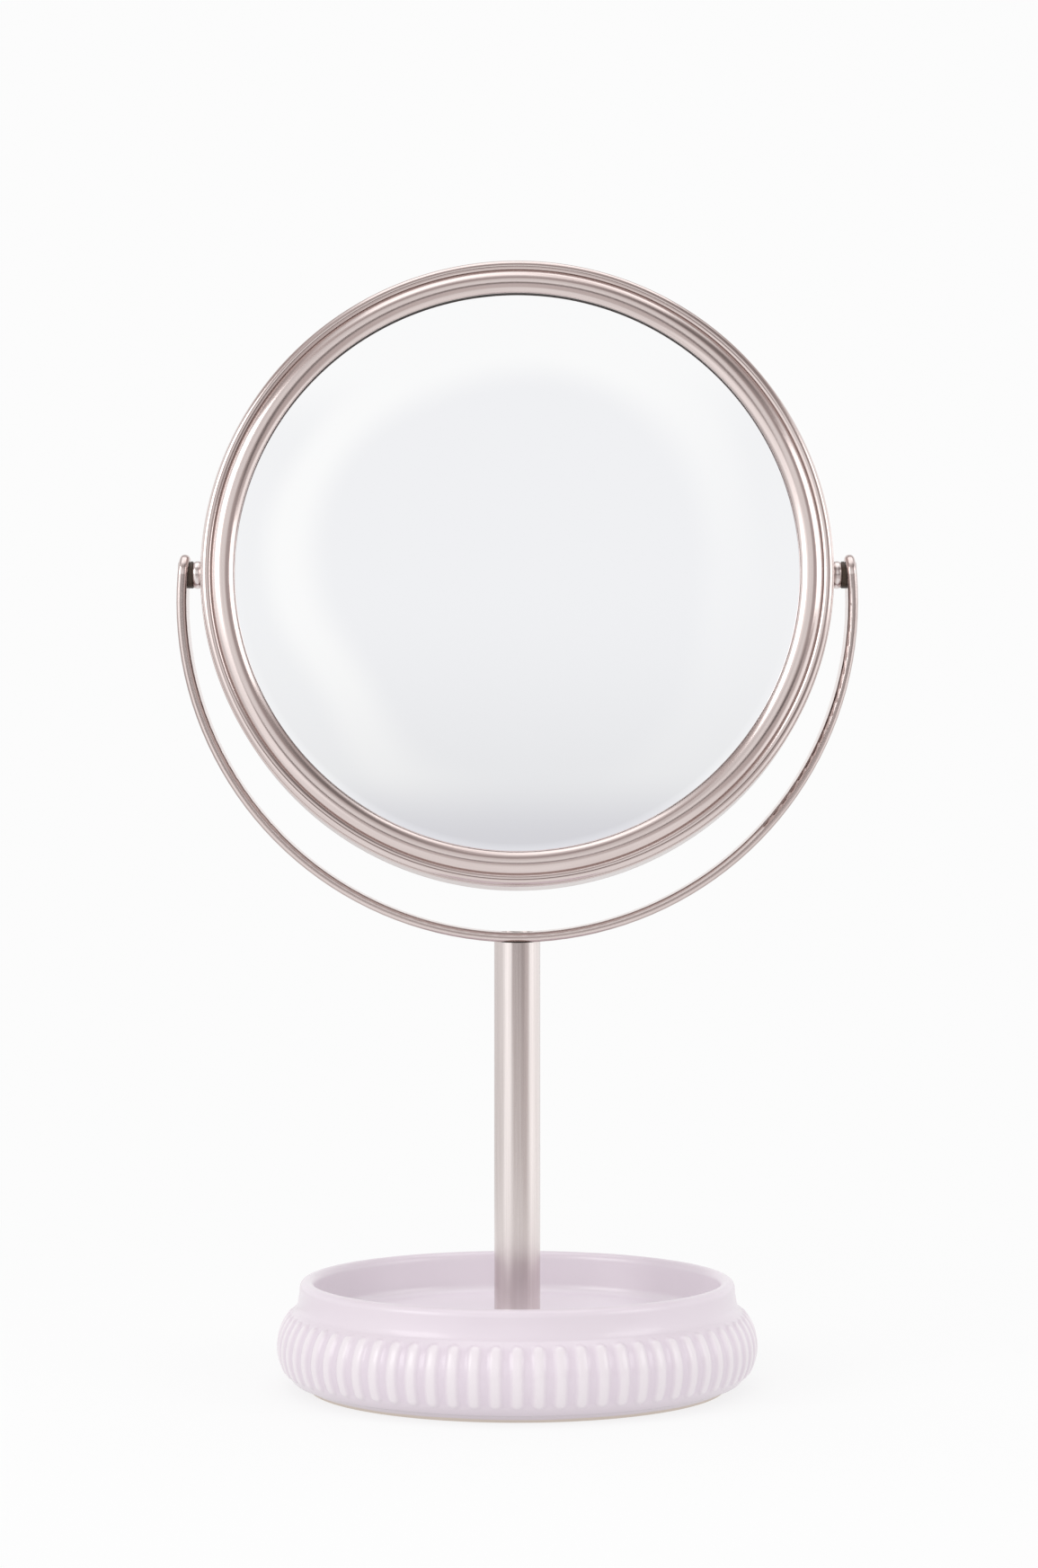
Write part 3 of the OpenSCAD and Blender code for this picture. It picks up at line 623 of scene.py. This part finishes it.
# room and ground are what gloss and metal see all round: a base level, then bands from one angle to
# another, in degrees from the camera's side, + to the right, each with its change of level
studio = {
    "white": (0.973, 0.973, 0.973, 1), "plain": (1.0, 1.0, 1.0, 1), "warm": (1.0, 0.90, 0.885, 1),
    "warmAt": (0.55, 0.9), "fill": 0.82,
    "room": (0.94, ((-75, -62, 0.28), (-35, -22, -0.34), (8, 26, -0.42), (59, 71, 0.62),
                    (130, 170, -0.14))),
    "rise": (1.12, ((0.28, 0.5, -0.2), (0.58, 0.68, -0.42), (0.76, 0.88, 0.4))),  # by height, 0 to 1
    "horizon": (0.11, 0.07), "horizonDim": 0.75,
    "frontLeft": (-0.55, -0.35), "frontRight": (0.8, 0.6)}  # radians, the dim sector at the front

floorLook = {
    "size": 12.0, "cells": 8, "tone": (0.9, 0.9, 0.9, 1), "matt": 0.22, "mattAt": (0.14, 0.42),
    "ground": (0.78, ((-75, -62, 0.42), (-35, -22, -0.50), (10, 30, -0.07), (56, 68, 0.64),
                      (85, 105, -0.20), (130, 170, -0.24))),
    "groundAt": (0.3, 0.5), "farAt": (2.2, 2.8), "farDim": 0.6}

lightPath = {"camera": 0, "glossy": 3}  # outputs of the Light Path node


def turnAngle(x, y):
    return x.math("ARCTAN2", y * -1)


def roundLevel(turn, base, bands):
    return addBands(turn, base, [(math.radians(low), math.radians(high), change)
                                 for low, high, change in bands])


def frontSector(turn):
    return turn.step(*studio["frontLeft"]) * turn.step(*studio["frontRight"])


def roomTint(shade, level):  # the dim parts of the room are warm
    return shade.blend(level.step(*studio["warmAt"]), studio["warm"], studio["plain"])


def makeFloor():
    look = floorLook
    bm = bmesh.new()
    bmesh.ops.create_grid(bm, x_segments=look["cells"], y_segments=look["cells"], size=look["size"])
    mesh = bpy.data.meshes.new("studioFloor")
    bm.to_mesh(mesh)
    bm.free()
    floor = bpy.data.objects.new("studioFloor", mesh)
    bpy.context.scene.collection.objects.link(floor)
    material, shade, inputs = newMaterial("studioFloor")
    tree = shade.tree
    tree.nodes.remove(tree.nodes["Principled BSDF"])
    x, y = shade.split(shade.spot())[:2]
    reach = fromAxis(x, y)
    turn = turnAngle(x, y)
    glossy = shade.add("LightPath", output=lightPath["glossy"])
    plain = 1 - (1 - reach.step(*look["mattAt"])) * look["matt"]
    level = reach.step(*look["groundAt"]) * (roundLevel(turn, *look["ground"]) - 1.0) + 1.0
    level = level * (1 - reach.step(*look["farAt"]) * frontSector(turn) * look["farDim"])
    matt = shade.add("BsdfDiffuse", inputs={"Color": look["tone"]})
    glow = shade.add("Emission", inputs={
        "Color": shade.blend(glossy, studio["white"], roomTint(shade, level)),
        "Strength": 1 + glossy * (level - 1)})
    surface = shade.add("MixShader", inputs={0: plain, 1: matt, 2: glow})
    plug(tree, tree.nodes["Material Output"].inputs["Surface"], surface)
    mesh.materials.append(material)


def makeWorld():
    # a white sweep for the camera; gloss and metal see softboxes and the dimmer room between them
    world = bpy.data.worlds.new("studioRoom")
    bpy.context.scene.world = world
    world.use_nodes = True
    tree = world.node_tree
    shade = Shade(tree)
    x, y, z = shade.split(shade.add("TexCoord", output=0))
    turn = turnAngle(x, y)
    horizon = z.step(*studio["horizon"]) * frontSector(turn)
    level = (roundLevel(turn, *studio["room"]) * addBands(z, *studio["rise"])
             * (1 - horizon * studio["horizonDim"]))
    glossy = shade.add("LightPath", output=lightPath["glossy"])
    camera = shade.add("LightPath", output=lightPath["camera"])
    room = shade.blend(glossy, (studio["fill"],) * 3 + (1,), roomTint(shade, level))
    back = tree.nodes["Background"]
    plug(tree, back.inputs["Color"], shade.blend(camera, room, studio["white"]))
    plug(tree, back.inputs["Strength"], 1 + glossy * (level - 1))


lampAim = Vector((0, 0, 0.15))
lamps = {
    "leftSoftbox": {"at": (-1.3, -0.9, 0.9), "size": 0.9, "power": 6.5, "inGloss": True},
    "rightSoftbox": {"at": (1.5, -0.7, 0.8), "size": 0.9, "power": 4.2, "inGloss": True},
    "topSoftbox": {"at": (0.0, 0.1, 1.7), "size": 1.4, "power": 4.4, "inGloss": True},
    "frontSoftbox": {"at": (-0.3, -1.4, 0.9), "size": 0.8, "power": 2.8, "inGloss": False}}


def makeLamps():
    for name, lamp in lamps.items():
        light = bpy.data.lights.new(name, "AREA")
        light.size = lamp["size"]
        light.energy = lamp["power"]
        holder = bpy.data.objects.new(name, light)
        holder.location = lamp["at"]
        holder.visible_glossy = lamp["inGloss"]
        aim = lampAim - Vector(lamp["at"])
        holder.rotation_euler = aim.to_track_quat("-Z", "Y").to_euler()
        bpy.context.scene.collection.objects.link(holder)


makeCamera()
makeFloor()
makeWorld()
makeLamps()
print("studio done")

headNickel = nickelMaterial("satinNickelHead", lambda shade: ringCoords(shade, headPlace), headPaintedDark,
                            "head", "headRoughness")
postNickel = nickelMaterial("satinNickelPost", postCoords)
yokeNickel = nickelMaterial("satinNickelYoke", lambda shade: ringCoords(shade, yokePlace), yokePaintedEdges,
                            "head")
pivotNickel = nickelMaterial("satinNickelPivot", lambda shade: ringCoords(shade, pivotPlace))
silver = glassMaterial()
glaze = glazeMaterial()
finishes = {slot: plainMaterial(**look) for slot, look in plainFinishes.items()}
finishes.update({"satin_nickel": headNickel, "mirror_glass": silver, "glazed_tray": glaze})
slotOf = {part["node"]: part["material_slot"] for part in frame["record"]["subparts"]}
for name, node in nodes.items():
    node.data.materials.clear()
    node.data.materials.append(finishes[slotOf[name]])
nodes["post_tube"].data.materials[0] = postNickel
nodes["yoke"].data.materials[0] = yokeNickel
print("finishes done")

makeRim(headNickel)
makeBezels(headNickel)
makeGlasses(silver)
makeSeals(finishes["black_rubber"])
makeSpacers(pivotNickel)
makeTray(glaze)

bpy.context.scene.view_settings.view_transform = "Standard"
